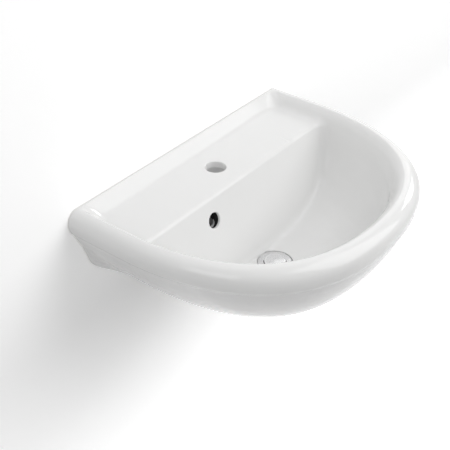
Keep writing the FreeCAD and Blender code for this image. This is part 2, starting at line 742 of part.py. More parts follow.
# Cartridge: screwed into the cross bar, holds the stem, the ratchet and the spring.
cartridge = turned("plug_cartridge", [
    ("0", "0 - bar_top - 12"),
    ("hub_bore - 0.6", "0 - bar_top - 12"),
    ("hub_bore", "0 - bar_top - 11.4"),
    ("hub_bore", "0 - bar_top"),
    ("cartridge_radius", "0 - bar_top"),
    ("cartridge_radius", "0 - lid_top - 2"),
    ("cartridge_bore", "0 - lid_top - 2"),
    ("cartridge_bore", "2 - bar_top"),
    ("0", "2 - bar_top"),
])
lid = turned("cartridge_lid", [
    ("stem_radius + 0.08", "0 - lid_top - 4"),
    ("cartridge_bore", "0 - lid_top - 4"),
    ("cartridge_bore", "0 - lid_top - 2"),
    ("cartridge_radius", "0 - lid_top - 2"),
    ("cartridge_radius", "0 - lid_top - 0.6"),
    ("cartridge_radius - 0.6", "0 - lid_top"),
    ("stem_radius + 0.08", "0 - lid_top"),
])
locknut = hex_nut("cartridge_nut", "XY_Plane", "13.0", "hub_bore", "0 - bar_top - bar_thick - 5", "5.0")

coil_low = -size("bar_top") + 2 + size("spring_wire") / 2
coil_high = -size("collar_drop") - 3 - size("spring_wire") / 2
ring_count = int(round(12 * size("spring_turns")))
rings = []
for k in range(ring_count + 1):
    turn_by = math.radians(30.0 * k)
    out = V(math.cos(turn_by), math.sin(turn_by), 0)
    heart = out * size("spring_radius") + V(0, 0, coil_low + (coil_high - coil_low) * k / ring_count)
    ring = []
    for j in range(6):
        roll_by = math.radians(60.0 * j)
        ring.append(heart + (out * math.cos(roll_by) + V(0, 0, math.sin(roll_by))) * (size("spring_wire") / 2))
    rings.append(Part.makePolygon(ring + [ring[0]]))
spring = doc.addObject("Part::Feature", "plug_spring")
spring.Label = "plug_spring"
spring.Shape = Part.makeLoft(rings, True, True)

WASTE_SET = [waste, gasket, outlet_seal, slip, backnut, cap, seal, stem, sleeve, cartridge, lid, locknut, spring]
for piece in WASTE_SET:
    place(piece, "0", "0 - waste_depth", "rim_above_fixings - bowl_drop")

# -------------------------------------------------------------- wall fixings
# Drawn about the bolt's axis, y = 0 at the wall face.
FIXINGS = []
for side, x_rule in (("left", "0 - stud_half_pitch"), ("right", "stud_half_pitch")):
    bolt = turned("hanger_bolt_" + side, [
        ("0", "0 - stud_out"),
        ("stud_thread - 0.8", "0 - stud_out"),
        ("stud_thread", "0.8 - stud_out"),
        ("stud_thread", "-1.0"),
        ("stud_radius", "-1.0"),
        ("stud_radius", "stud_in_wall - 9"),
        ("1.2", "stud_in_wall"),
        ("0", "stud_in_wall"),
    ], "XY_Plane")
    bush = turned("fixing_bush_" + side, [
        ("stud_radius + 0.2", "0 - plate_thick - bush_thick"),
        ("bush_flange - 1", "0 - plate_thick - bush_thick"),
        ("bush_flange", "1 - plate_thick - bush_thick"),
        ("bush_flange", "0 - plate_thick"),
        ("bush_shank", "0 - plate_thick"),
        ("bush_shank", "-3.0"),
        ("stud_radius + 0.2", "-3.0"),
    ], "XY_Plane")
    washer = turned("fixing_washer_" + side, [
        ("stud_radius + 0.25", "0 - plate_thick - bush_thick - washer_thick"),
        ("washer_radius", "0 - plate_thick - bush_thick - washer_thick"),
        ("washer_radius", "0 - plate_thick - bush_thick"),
        ("stud_radius + 0.25", "0 - plate_thick - bush_thick"),
    ], "XY_Plane")
    nut = hex_nut("fixing_nut_" + side, "XZ_Plane", "stud_nut_across", "stud_thread",
                  "plate_thick + bush_thick + washer_thick", "stud_nut_thick")
    cover = turned("nut_cap_" + side, [
        ("0", "0 - stud_out - 4"),
        ("nut_cap_radius - 2.5", "0 - stud_out - 4"),
        ("nut_cap_radius", "0 - stud_out"),
        ("nut_cap_radius", "0 - plate_thick - bush_thick - washer_thick"),
        ("nut_cap_radius - 1.6", "0 - plate_thick - bush_thick - washer_thick"),
        ("nut_cap_radius - 1.6", "0 - stud_out - 2"),
        ("0", "0 - stud_out - 2"),
    ], "XY_Plane")
    for piece in (bolt, bush, washer, nut, cover):
        place(piece, x_rule, "0", "0")
        FIXINGS.append(piece)

# --------------------------------------------------------- checks and writing
doc.recompute()
for thing in doc.Objects:
    faults = [word for word in thing.State if word in ("Invalid", "Error")]
    if faults:
        raise RuntimeError("%s: %s" % (thing.Name, faults))
NODES = [basin] + WASTE_SET + FIXINGS
for piece in NODES:
    shape = piece.Shape
    if shape.isNull() or not shape.isValid() or shape.Volume <= 0:
        raise RuntimeError("%s: no valid shape" % piece.Label)
    if len(shape.Solids) != 1:
        raise RuntimeError("%s: %d solids" % (piece.Label, len(shape.Solids)))
for piece in NODES:
    piece.Shape.exportStep("parts/%s.step" % piece.Label)
    print("%-22s %10.1f mm3" % (piece.Label, piece.Shape.Volume))
print(len(NODES), "nodes")
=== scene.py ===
"""Looks of the wall hung basin: glazed ceramic body, push-to-open waste, wall fixings and the studio."""
import math
import bmesh
import bpy
from bpy.props import FloatProperty, FloatVectorProperty, IntProperty, PointerProperty
from mathutils import Matrix, Vector


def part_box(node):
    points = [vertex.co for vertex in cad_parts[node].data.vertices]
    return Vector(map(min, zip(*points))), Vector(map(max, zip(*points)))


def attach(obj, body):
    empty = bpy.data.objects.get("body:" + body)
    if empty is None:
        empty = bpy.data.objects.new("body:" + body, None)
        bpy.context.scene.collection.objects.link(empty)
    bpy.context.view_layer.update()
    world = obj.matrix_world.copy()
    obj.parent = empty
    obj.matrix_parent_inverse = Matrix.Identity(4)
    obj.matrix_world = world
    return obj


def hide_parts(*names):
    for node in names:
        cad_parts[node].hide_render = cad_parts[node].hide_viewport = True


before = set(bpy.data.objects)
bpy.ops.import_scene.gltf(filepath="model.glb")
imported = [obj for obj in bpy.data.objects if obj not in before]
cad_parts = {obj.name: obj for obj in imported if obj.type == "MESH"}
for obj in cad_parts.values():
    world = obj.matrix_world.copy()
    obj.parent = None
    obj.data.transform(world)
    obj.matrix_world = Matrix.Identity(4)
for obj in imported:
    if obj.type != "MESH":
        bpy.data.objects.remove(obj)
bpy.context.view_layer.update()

bl_info = {
    "name": "Wall hung basin",
    "version": (1, 0, 0),
    "blender": (4, 5, 0),
    "location": "View3D > Sidebar > Basin",
    "description": "Dresses the wall hung basin: glaze, waste, fixings and studio",
    "category": "Object",
}

# the basin, in metres and in the frame's axes
RIM = 0.075                         # rim crest above the frame's origin
BACK_WALL = -0.121                  # top of the bowl's back wall along Y
BACK_WALL_DROP = 0.023              # that top below the rim crest
BACK_WALL_LEAN = 0.3                # forward run of the back wall for each metre of drop
OVERFLOW_ACROSS = -0.082            # middle of the overflow along X
OVERFLOW_DROP = 0.0605              # that middle below the rim crest
OVERFLOW_REACH = 0.0152             # the duct is looked for this near to that middle
OVERFLOW_DEEP = 0.036               # and this far behind the back wall
RAGGED_EDGE = 0.0003                # width in which the glaze's edge wanders
TAIL_THREADS = ((0.0008, 0.0165), (0.0195, 0.0300))    # starts and ends above the waste tail's free end
BOLT_ACROSS = 0.14                  # each wall bolt from the basin's middle
BOLT_CREASE = 30                    # degrees; a bolt's sharper edges stay crisp
MERGE = 2e-6                        # corners closer than this become one

# finishes
# painted shade: the near-black that stands for the shade deep inside the overflow's duct
DUCT_PAINTED_SHADE = (0.012, 0.012, 0.013, 1)
CLAY_SPECK = (0.55, 0.52, 0.47, 1)
# painted shade: the dark brown laid into a thread's valleys
THREAD_VALLEY_SHADE = (0.10, 0.09, 0.08, 1)
DUST = (0.6, 0.58, 0.55, 1)
PAINT_MOTTLE = (0.7, 0.7, 0.7, 1)
UNGLAZED_ROUGHNESS = 0.85
TURNING_LINES = 0.03                # height of a metal's fine lines beside a thread's 1
MOULD_GRAIN = 0.12                  # strength of the grain on plastic and rubber

# the studio, in metres
ROOM_HALF, ROOM_TOP, ROOM_FRONT = 5, 4, -6
WALL_GAP = 0.0006                   # the wall stands this far behind the wall face
TOUCHING = 0.004                    # a ray that reaches the paint within this length goes through it
PAINTED_LIGHT_SLOPE, PAINTED_LIGHT_START = -1.7, -0.25    # painted light: the wall is made paler towards the floor; the added lift is slope * height + start, from 0 to 1
LAMP_AIM = (0.0, -0.2, 0.0)
LAMPS = (                           # name, setting that holds the power, place, side
    ("key_light", "key", (0.80, -1.40, 1.55), 1.9),
    ("fill_light", "fill", (-2.00, -0.50, 1.20), 1.2),
    ("side_light", "side", (2.30, -0.50, 1.15), 0.6))

# the camera fitted to the photograph
PHOTO_SIDE = 450.0                  # pixels
PHOTO_FOCAL = 889.9                 # pixels
SENSOR = 36.0                       # millimetres
CAMERA_TURN, CAMERA_LIFT, CAMERA_ROLL = -52.14, 35.49, 0.2    # degrees
CAMERA_PLACE = (-0.997, -0.864, 0.766 + RIM)
CAMERA_SIGHT = 50.0                 # metres


# ------------------------------------------------------------------ properties
class CeramicSettings(bpy.types.PropertyGroup):
    glaze: FloatVectorProperty(
        name="Glaze", description="Colour of the white glaze",
        subtype="COLOR", size=3, min=0, max=1, default=(0.885, 0.885, 0.880))
    biscuit: FloatVectorProperty(
        name="Biscuit", description="Colour of the bare clay where it meets the wall",
        subtype="COLOR", size=3, min=0, max=1, default=(0.74, 0.71, 0.66))
    gloss: FloatProperty(
        name="Glaze roughness", description="Roughness of the glaze",
        min=0, max=1, default=0.075)
    bare_back: FloatProperty(
        name="Bare back", description="Depth of the ground strip at the wall that holds no glaze",
        unit="LENGTH", subtype="DISTANCE", min=0, default=0.0003)
    # from this depth the overflow's duct is painted near-black as shade, and is rough as bare clay
    duct_shade_from: FloatProperty(
        name="Dark from", description="Depth inside the overflow where its unglazed duct begins",
        unit="LENGTH", subtype="DISTANCE", min=0, default=0.0045)
    crease: FloatProperty(
        name="Crease angle", description="Edges sharper than this stay crisp",
        subtype="ANGLE", default=math.radians(64))


class WasteSettings(bpy.types.PropertyGroup):
    chrome: FloatVectorProperty(
        name="Chrome", description="Colour of the plated waste",
        subtype="COLOR", size=3, min=0, max=1, default=(0.90, 0.90, 0.91))
    brass: FloatVectorProperty(
        name="Brass", description="Colour of the bare brass parts",
        subtype="COLOR", size=3, min=0, max=1, default=(0.72, 0.53, 0.26))
    rubber: FloatVectorProperty(
        name="Seal rubber", description="Colour of the seals",
        subtype="COLOR", size=3, min=0, max=1, default=(0.025, 0.025, 0.027))
    thread_pitch: FloatProperty(
        name="Tail thread pitch", description="Pitch of the thread on the waste tail",
        unit="LENGTH", subtype="DISTANCE", default=0.00231)


class FixingSettings(bpy.types.PropertyGroup):
    zinc: FloatVectorProperty(
        name="Zinc", description="Colour of the zinc plated steel",
        subtype="COLOR", size=3, min=0, max=1, default=(0.58, 0.60, 0.62))
    plastic: FloatVectorProperty(
        name="White plastic", description="Colour of the bushes and nut caps",
        subtype="COLOR", size=3, min=0, max=1, default=(0.80, 0.80, 0.78))
    nut_pitch: FloatProperty(
        name="Machine thread pitch", description="Pitch of the thread in front of the wall",
        unit="LENGTH", subtype="DISTANCE", default=0.0015)
    wood_pitch: FloatProperty(
        name="Wood thread pitch", description="Pitch of the thread in the wall",
        unit="LENGTH", subtype="DISTANCE", default=0.0036)
    thread_steps: IntProperty(
        name="Steps per turn", description="Mesh steps in one turn of thread",
        min=8, max=48, default=20)


class StudioSettings(bpy.types.PropertyGroup):
    wall: FloatVectorProperty(
        name="Wall", description="Colour of the wall",
        subtype="COLOR", size=3, min=0, max=1, default=(0.80, 0.80, 0.80))
    wall_lift: FloatProperty(
        name="Wall lift", description="How much paler than its paint the camera sees the wall",
        min=1, max=3, default=1.72)
    # painted light: this much more lift makes the wall paler towards the floor, where the lamps light it
    # less
    wall_painted_light_below: FloatProperty(
        name="Wall lift below", description="What is added to the wall lift towards the floor",
        min=0, max=3, default=1.1)
    floor: FloatVectorProperty(
        name="Floor", description="Colour of the floor",
        subtype="COLOR", size=3, min=0, max=1, default=(0.52, 0.52, 0.52))
    floor_lift: FloatProperty(
        name="Floor lift", description="How much paler than its paint the camera sees the floor",
        min=1, max=4, default=3.0)
    key: FloatProperty(
        name="Key light", description="Power of the large light",
        unit="POWER", default=20.0)
    fill: FloatProperty(
        name="Fill light", description="Power of the light on the left",
        unit="POWER", default=7.0)
    side: FloatProperty(
        name="Side light", description="Power of the light on the right",
        unit="POWER", default=7.0)
    sky: FloatProperty(
        name="Sky", description="Strength of the even light from above",
        min=0, default=0.52)
    ground: FloatProperty(
        name="Ground", description="Strength of the even light from below",
        min=0, default=0.40)
    floor_drop: FloatProperty(
        name="Floor drop", description="Floor below the frame's origin",
        unit="LENGTH", subtype="DISTANCE", default=0.775)


# ----------------------------------------------------------- shared node groups
def new_group(name, inputs, outputs):
    """An empty shader group with the named sockets: (name, kind, default) in, (name, kind) out."""
    tree = bpy.data.node_groups.new(name, "ShaderNodeTree")
    for label, kind, value in inputs:
        socket = tree.interface.new_socket(name=label, in_out="INPUT", socket_type="NodeSocket" + kind)
        if value is not None:
            socket.default_value = value
    for label, kind in outputs:
        tree.interface.new_socket(name=label, in_out="OUTPUT", socket_type="NodeSocket" + kind)
    return tree, tree.nodes.new("NodeGroupInput"), tree.nodes.new("NodeGroupOutput")


def math_node(tree, operation, a, b=None, c=None, clamp=False):
    """A Math node fed by sockets or numbers; returns its output."""
    node = tree.nodes.new("ShaderNodeMath")
    node.operation = operation
    node.use_clamp = clamp
    for slot, value in enumerate((a, b, c)):
        if value is None:
            continue
        if isinstance(value, (int, float)):
            node.inputs[slot].default_value = value
        else:
            tree.links.new(value, node.inputs[slot])
    return node.outputs[0]


def mix_colour(tree, share, a, b):
    """A colour mix fed by sockets or colours; returns its output."""
    node = tree.nodes.new("ShaderNodeMix")
    node.data_type = "RGBA"
    for socket, value in ((node.inputs[0], share), (node.inputs[6], a), (node.inputs[7], b)):
        if isinstance(value, (int, float, tuple, list)):
            socket.default_value = value
        else:
            tree.links.new(value, socket)
    return node.outputs[2]


def on_piece(tree):
    """A place in the piece's own coordinates."""
    return tree.nodes.new("ShaderNodeTexCoord").outputs["Object"]


def axes_of(tree, vector):
    """The X, Y and Z sockets of a vector."""
    split = tree.nodes.new("ShaderNodeSeparateXYZ")
    tree.links.new(vector, split.inputs[0])
    return split.outputs


def noise(tree, place, scale, detail=2.0):
    """A noise at a place, with a number or a socket as its scale; returns its value."""
    node = tree.nodes.new("ShaderNodeTexNoise")
    node.inputs["Detail"].default_value = detail
    tree.links.new(place, node.inputs["Vector"])
    if isinstance(scale, (int, float)):
        node.inputs["Scale"].default_value = scale
    else:
        tree.links.new(scale, node.inputs["Scale"])
    return node.outputs["Fac"]


def toned(tree, colour, value):
    """A colour made lighter or darker by a factor."""
    shade = tree.nodes.new("ShaderNodeHueSaturation")
    tree.links.new(value, shade.inputs["Value"])
    tree.links.new(colour, shade.inputs["Color"])
    return shade.outputs["Color"]


def glaze_flow_group():
    """Slow changes in the glaze: a faint tone shift, a faint waviness and a faint change of gloss."""
    tree, source, sink = new_group(
        "glaze_flow",
        [("Colour", "Color", (0.9, 0.9, 0.9, 1)), ("Tone shift", "Float", 0.02), ("Gloss", "Float", 0.08),
         ("Gloss shift", "Float", 0.03), ("Wave size", "Float", 14.0)],
        [("Colour", "Color"), ("Roughness", "Float"), ("Height", "Float")])
    place = on_piece(tree)
    slow = noise(tree, place, source.outputs["Wave size"])
    fine = noise(tree, place, 900.0, detail=3.0)
    swing = math_node(tree, "SUBTRACT", slow, 0.5)
    speck = math_node(tree, "SUBTRACT", fine, 0.5)
    tone = math_node(tree, "MULTIPLY", swing, source.outputs["Tone shift"])
    shade = toned(tree, source.outputs["Colour"], math_node(tree, "ADD", tone, 1.0))
    uneven = math_node(tree, "ADD", swing, speck)
    rough = math_node(tree, "MULTIPLY_ADD", uneven, source.outputs["Gloss shift"], source.outputs["Gloss"])
    tree.links.new(shade, sink.inputs["Colour"])
    tree.links.new(math_node(tree, "MAXIMUM", rough, 0.02), sink.inputs["Roughness"])
    tree.links.new(slow, sink.inputs["Height"])
    return tree


def handled_metal_group():
    """Plated or turned metal: a fine noise in the height that stands for turning lines, smudges and a little
    tarnish.
    """
    tree, source, sink = new_group(
        "handled_metal",
        [("Colour", "Color", (0.7, 0.7, 0.7, 1)), ("Stain", "Color", (0.3, 0.3, 0.3, 1)),
         ("Stain amount", "Float", 0.2), ("Roughness", "Float", 0.15), ("Smudge", "Float", 0.15),
         ("Line size", "Float", 2500.0)],
        [("Colour", "Color"), ("Roughness", "Float"), ("Height", "Float")])
    place = on_piece(tree)
    patch = noise(tree, place, 160.0, detail=5.0)
    lines = noise(tree, place, source.outputs["Line size"])
    worn = math_node(tree, "MULTIPLY", math_node(tree, "SUBTRACT", patch, 0.45), 4.0, clamp=True)
    stained = math_node(tree, "MULTIPLY", worn, source.outputs["Stain amount"])
    skin = mix_colour(tree, stained, source.outputs["Colour"], source.outputs["Stain"])
    tree.links.new(skin, sink.inputs["Colour"])
    rough = math_node(tree, "MULTIPLY_ADD", patch, source.outputs["Smudge"], source.outputs["Roughness"])
    tree.links.new(rough, sink.inputs["Roughness"])
    tree.links.new(lines, sink.inputs["Height"])
    return tree


def thread_group():
    """Ridges of a thread along one axis of a piece, between two ends."""
    tree, source, sink = new_group(
        "thread_ridges",
        [("Along", "Float", 0.0), ("Start", "Float", 0.0), ("End", "Float", 0.01),
         ("Pitch", "Float", 0.002)],
        [("Height", "Float"), ("Mask", "Float")])
    run = math_node(tree, "SUBTRACT", source.outputs["Along"], source.outputs["Start"])
    turn = math_node(tree, "FRACT", math_node(tree, "DIVIDE", run, source.outputs["Pitch"]))
    ridge = math_node(tree, "ABSOLUTE", math_node(tree, "MULTIPLY_ADD", turn, 2.0, -1.0))
    above = math_node(tree, "GREATER_THAN", source.outputs["Along"], source.outputs["Start"])
    below = math_node(tree, "LESS_THAN", source.outputs["Along"], source.outputs["End"])
    mask = math_node(tree, "MULTIPLY", above, below)
    tree.links.new(math_node(tree, "MULTIPLY", ridge, mask), sink.inputs["Height"])
    tree.links.new(mask, sink.inputs["Mask"])
    return tree


def moulded_group():
    """Moulded plastic or rubber: fine grain, soft mottling and a dusty bloom on upward faces."""
    tree, source, sink = new_group(
        "moulded",
        [("Colour", "Color", (0.5, 0.5, 0.5, 1)), ("Mottle", "Float", 0.05), ("Roughness", "Float", 0.45),
         ("Grain size", "Float", 1500.0), ("Dust", "Float", 0.05)],
        [("Colour", "Color"), ("Roughness", "Float"), ("Height", "Float")])
    place = on_piece(tree)
    grain = noise(tree, place, source.outputs["Grain size"], detail=3.0)
    soft = noise(tree, place, 60.0)
    swing = math_node(tree, "SUBTRACT", soft, 0.5)
    tone = math_node(tree, "MULTIPLY_ADD", swing, source.outputs["Mottle"], 1.0)
    shade = toned(tree, source.outputs["Colour"], tone)
    facing = axes_of(tree, tree.nodes.new("ShaderNodeNewGeometry").outputs["Normal"])
    upward = math_node(tree, "MAXIMUM", facing["Z"], 0.0)
    dusty = math_node(tree, "MULTIPLY", upward, source.outputs["Dust"])
    tree.links.new(mix_colour(tree, dusty, shade, DUST), sink.inputs["Colour"])
    rough = math_node(tree, "MULTIPLY_ADD", grain, 0.12, source.outputs["Roughness"])
    tree.links.new(rough, sink.inputs["Roughness"])
    tree.links.new(grain, sink.inputs["Height"])
    return tree


GROUPS = {"glaze_flow": glaze_flow_group, "handled_metal": handled_metal_group,
          "thread_ridges": thread_group, "moulded": moulded_group}


def shared(name):
    """The shared group of that name, built once."""
    return bpy.data.node_groups.get(name) or GROUPS[name]()


def with_group(tree, name, values):
    """A placed copy of a shared group, with its own values."""
    node = tree.nodes.new("ShaderNodeGroup")
    node.node_tree = shared(name)
    for label, value in values.items():
        node.inputs[label].default_value = value
    return node


def colour4(values):
    return (values[0], values[1], values[2], 1.0)


def new_material(name):
    """An empty material with a Principled shader: (material, tree, shader)."""
    material = bpy.data.materials.new(name)
    material.use_nodes = True
    tree = material.node_tree
    shader = tree.nodes["Principled BSDF"]
    return material, tree, shader


def bump(tree, shader, height, strength, distance):
    """Feeds a height into the shader's normal."""
    node = tree.nodes.new("ShaderNodeBump")
    node.inputs["Strength"].default_value = strength
    node.inputs["Distance"].default_value = distance
    tree.links.new(height, node.inputs["Height"])
    tree.links.new(node.outputs["Normal"], shader.inputs["Normal"])


# ------------------------------------------------------------------- materials
def glazed_ceramic(settings):
    """White glaze over the whole basin, with bare ground clay where it meets the wall, and painted shade,
    near-black, deep inside the overflow's duct.
    """
    material, tree, shader = new_material("white_glaze")
    flow = with_group(tree, "glaze_flow", {"Colour": colour4(settings.glaze), "Tone shift": 0.012,
                                           "Gloss": settings.gloss, "Gloss shift": 0.03, "Wave size": 11.0})
    place = on_piece(tree)
    axes = axes_of(tree, place)
    ragged = math_node(tree, "MULTIPLY_ADD", noise(tree, place, 220.0, detail=4.0), RAGGED_EDGE, axes["Y"])
    bare = math_node(tree, "GREATER_THAN", ragged, RAGGED_EDGE / 2 - settings.bare_back)
    speckle = noise(tree, place, 1400.0)
    specks = math_node(tree, "MULTIPLY", speckle, 0.5)
    clay = mix_colour(tree, specks, colour4(settings.biscuit), CLAY_SPECK)
    skin = mix_colour(tree, bare, flow.outputs["Colour"], clay)
    duct = shaded_unglazed_duct_mask(tree, axes, settings.duct_shade_from)
    # deep in the overflow's duct the colour is painted shade, near-black
    tree.links.new(mix_colour(tree, duct, skin, DUCT_PAINTED_SHADE), shader.inputs["Base Color"])
    unglazed = math_node(tree, "MULTIPLY", math_node(tree, "MAXIMUM", bare, duct), UNGLAZED_ROUGHNESS)
    rough = math_node(tree, "MAXIMUM", flow.outputs["Roughness"], unglazed)
    tree.links.new(rough, shader.inputs["Roughness"])
    grit = math_node(tree, "MULTIPLY", bare, speckle)
    height = math_node(tree, "MULTIPLY_ADD", grit, 0.3, flow.outputs["Height"])
    bump(tree, shader, height, 0.10, 0.002)
    shader.inputs["IOR"].default_value = 1.52
    shader.inputs["Specular IOR Level"].default_value = 0.5
    return material


def shaded_unglazed_duct_mask(tree, axes, start):
    """1 inside the overflow's duct, from a depth behind the bowl's back wall, where the duct is painted
    near-black as shade and is rough as bare clay; 0 on the rest of the basin.
    """
    slant = math.sqrt(1 + BACK_WALL_LEAN * BACK_WALL_LEAN)
    level = math_node(tree, "ADD", axes["Y"], BACK_WALL_LEAN * (RIM - BACK_WALL_DROP) - BACK_WALL)
    deep = math_node(tree, "MULTIPLY_ADD", axes["Z"], -BACK_WALL_LEAN, level)
    behind = math_node(tree, "GREATER_THAN", deep, start * slant)
    before = math_node(tree, "LESS_THAN", deep, OVERFLOW_DEEP)
    across = math_node(tree, "SUBTRACT", axes["X"], OVERFLOW_ACROSS)
    up = math_node(tree, "SUBTRACT", axes["Z"], RIM - OVERFLOW_DROP)
    across_square = math_node(tree, "MULTIPLY", across, across)
    span = math_node(tree, "ADD", across_square, math_node(tree, "MULTIPLY", up, up))
    near = math_node(tree, "LESS_THAN", span, OVERFLOW_REACH ** 2)
    return math_node(tree, "MULTIPLY", near, math_node(tree, "MULTIPLY", behind, before))


def metal(name, colour, stain, stain_amount, roughness, smudge, threads=()):
    """A plated or turned metal, with painted shade in its threads' valleys; threads are (axis, start, end,
    pitch) in metres.
    """
    material, tree, shader = new_material(name)
    skin = with_group(tree, "handled_metal", {
        "Colour": colour4(colour), "Stain": colour4(stain), "Stain amount": stain_amount,
        "Roughness": roughness, "Smudge": smudge})
    shader.inputs["Metallic"].default_value = 1.0
    tree.links.new(skin.outputs["Roughness"], shader.inputs["Roughness"])
    height = math_node(tree, "MULTIPLY", skin.outputs["Height"], TURNING_LINES)
    colour_out = skin.outputs["Colour"]
    if threads:
        axes = axes_of(tree, on_piece(tree))
    for axis, start, end, pitch in threads:
        ridges = with_group(tree, "thread_ridges", {"Start": start, "End": end, "Pitch": pitch})
        tree.links.new(axes[axis], ridges.inputs["Along"])
        height = math_node(tree, "ADD", height, ridges.outputs["Height"])
        # painted shade: the thread's valleys are darkened towards the shade colour
        valley_shade = math_node(tree, "SUBTRACT", ridges.outputs["Mask"], ridges.outputs["Height"])
        colour_out = mix_colour(tree, math_node(tree, "MULTIPLY", valley_shade, 0.45), colour_out, THREAD_VALLEY_SHADE)
    tree.links.new(colour_out, shader.inputs["Base Color"])
    bump(tree, shader, height, 1.0 if threads else 0.25, 0.0008)
    return material


def moulded(name, colour, roughness, mottle=0.06, grain=1500.0, dust=0.05):
    """A moulded plastic or rubber."""
    material, tree, shader = new_material(name)
    skin = with_group(tree, "moulded", {"Colour": colour4(colour), "Mottle": mottle, "Roughness": roughness,
                                        "Grain size": grain, "Dust": dust})
    tree.links.new(skin.outputs["Colour"], shader.inputs["Base Color"])
    tree.links.new(skin.outputs["Roughness"], shader.inputs["Roughness"])
    bump(tree, shader, skin.outputs["Height"], MOULD_GRAIN, 0.0004)
    return material


def finish_node(node, material):
    """Gives a carried-over part its finish."""
    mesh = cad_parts[node].data
    if mesh.materials:
        for i in range(len(mesh.materials)):
            mesh.materials[i] = material
    else:
        mesh.materials.append(material)


# ---------------------------------------------------------------------- meshes
def from_node(node, name):
    """A merged copy of a part's mesh as a new object at the origin."""
    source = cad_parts[node]
    work = bmesh.new()
    work.from_mesh(source.data)
    bmesh.ops.remove_doubles(work, verts=work.verts, dist=MERGE)
    mesh = bpy.data.meshes.new(name)
    work.to_mesh(mesh)
    work.free()
    thing = bpy.data.objects.new(name, mesh)
    bpy.context.collection.objects.link(thing)
    return thing


def even_normals(thing, name):
    """The object's mesh with each corner's normal led by its large faces, so thin facets leave no line."""
    lead = thing.modifiers.new("large_faces_lead", "WEIGHTED_NORMAL")
    lead.mode = "FACE_AREA_WITH_ANGLE"
    lead.weight = 60
    lead.keep_sharp = True
    return made_plain(thing, name)


def smooth_by_angle(mesh, angle):
    """Smooth shading with crisp edges where two faces meet at more than the angle."""
    work = bmesh.new()
    work.from_mesh(mesh)
    for face in work.faces:
        face.smooth = True
    for edge in work.edges:
        edge.smooth = len(edge.link_faces) == 2 and edge.calc_face_angle(math.pi) < angle
    work.to_mesh(mesh)
    work.free()


def winding_group():
    """A sharp ridge that winds round a rod along Y, between a radius at its start and one at its end."""
    found = bpy.data.node_groups.get("thread_winding")
    if found:
        return found
    tree = bpy.data.node_groups.new("thread_winding", "GeometryNodeTree")
    for label, kind, value in (
            ("Start radius", "Float", 0.0045), ("End radius", "Float", 0.0045), ("Ridge", "Float", 0.0005),
            ("Pitch", "Float", 0.0015), ("Start", "Float", 0.0), ("Length", "Float", 0.04),
            ("Across", "Float", 0.0), ("Steps per turn", "Int", 20)):
        socket = tree.interface.new_socket(name=label, in_out="INPUT", socket_type="NodeSocket" + kind)
        socket.default_value = value
    tree.interface.new_socket(name="Thread", in_out="OUTPUT", socket_type="NodeSocketGeometry")
    source, sink = tree.nodes.new("NodeGroupInput"), tree.nodes.new("NodeGroupOutput")
    path = tree.nodes.new("GeometryNodeCurveSpiral")
    tree.links.new(source.outputs["Steps per turn"], path.inputs["Resolution"])
    turns = math_node(tree, "DIVIDE", source.outputs["Length"], source.outputs["Pitch"])
    tree.links.new(turns, path.inputs["Rotations"])
    tree.links.new(source.outputs["Start radius"], path.inputs["Start Radius"])
    tree.links.new(source.outputs["End radius"], path.inputs["End Radius"])
    tree.links.new(source.outputs["Length"], path.inputs["Height"])
    upright = tree.nodes.new("GeometryNodeSetCurveNormal")
    upright.mode = "Z_UP"
    tree.links.new(path.outputs["Curve"], upright.inputs["Curve"])
    profile = tree.nodes.new("GeometryNodeCurvePrimitiveCircle")
    profile.inputs["Resolution"].default_value = 4
    tree.links.new(source.outputs["Ridge"], profile.inputs["Radius"])
    sweep = tree.nodes.new("GeometryNodeCurveToMesh")
    sweep.inputs["Fill Caps"].default_value = True
    tree.links.new(upright.outputs["Curve"], sweep.inputs["Curve"])
    tree.links.new(profile.outputs["Curve"], sweep.inputs["Profile Curve"])
    place = tree.nodes.new("ShaderNodeCombineXYZ")
    tree.links.new(source.outputs["Across"], place.inputs["X"])
    tree.links.new(source.outputs["Start"], place.inputs["Y"])
    lay = tree.nodes.new("GeometryNodeTransform")
    lay.inputs["Rotation"].default_value = (math.radians(-90), 0, 0)
    tree.links.new(sweep.outputs["Mesh"], lay.inputs["Geometry"])
    tree.links.new(place.outputs[0], lay.inputs["Translation"])
    tree.links.new(lay.outputs["Geometry"], sink.inputs["Thread"])
    return tree


# inputs of a threaded rod, in metres; along the rod 0 is the wall face
ROD_SIZES = (
    ("Across", "Float", BOLT_ACROSS), ("Steps per turn", "Int", 20),
    ("Ridge", "Float", 0.00045), ("Wood ridge", "Float", 0.0007),
    ("Nut radius", "Float", 0.0045), ("Wood radius", "Float", 0.005), ("Tip radius", "Float", 0.0014),
    ("Nut pitch", "Float", 0.0015), ("Wood pitch", "Float", 0.0036),
    ("Nut start", "Float", -0.0452), ("Nut length", "Float", 0.043),
    ("Wood start", "Float", 0.010), ("Wood length", "Float", 0.055),
    ("Tip start", "Float", 0.065), ("Tip length", "Float", 0.0080),
    ("Finish", "Material", None))
# which of them each winding takes: both radii, ridge, pitch, start and length
ROD_THREADS = (
    ("Nut radius", "Nut radius", "Ridge", "Nut pitch", "Nut start", "Nut length"),
    ("Wood radius", "Wood radius", "Wood ridge", "Wood pitch", "Wood start", "Wood length"),
    ("Wood radius", "Tip radius", "Wood ridge", "Wood pitch", "Tip start", "Tip length"))


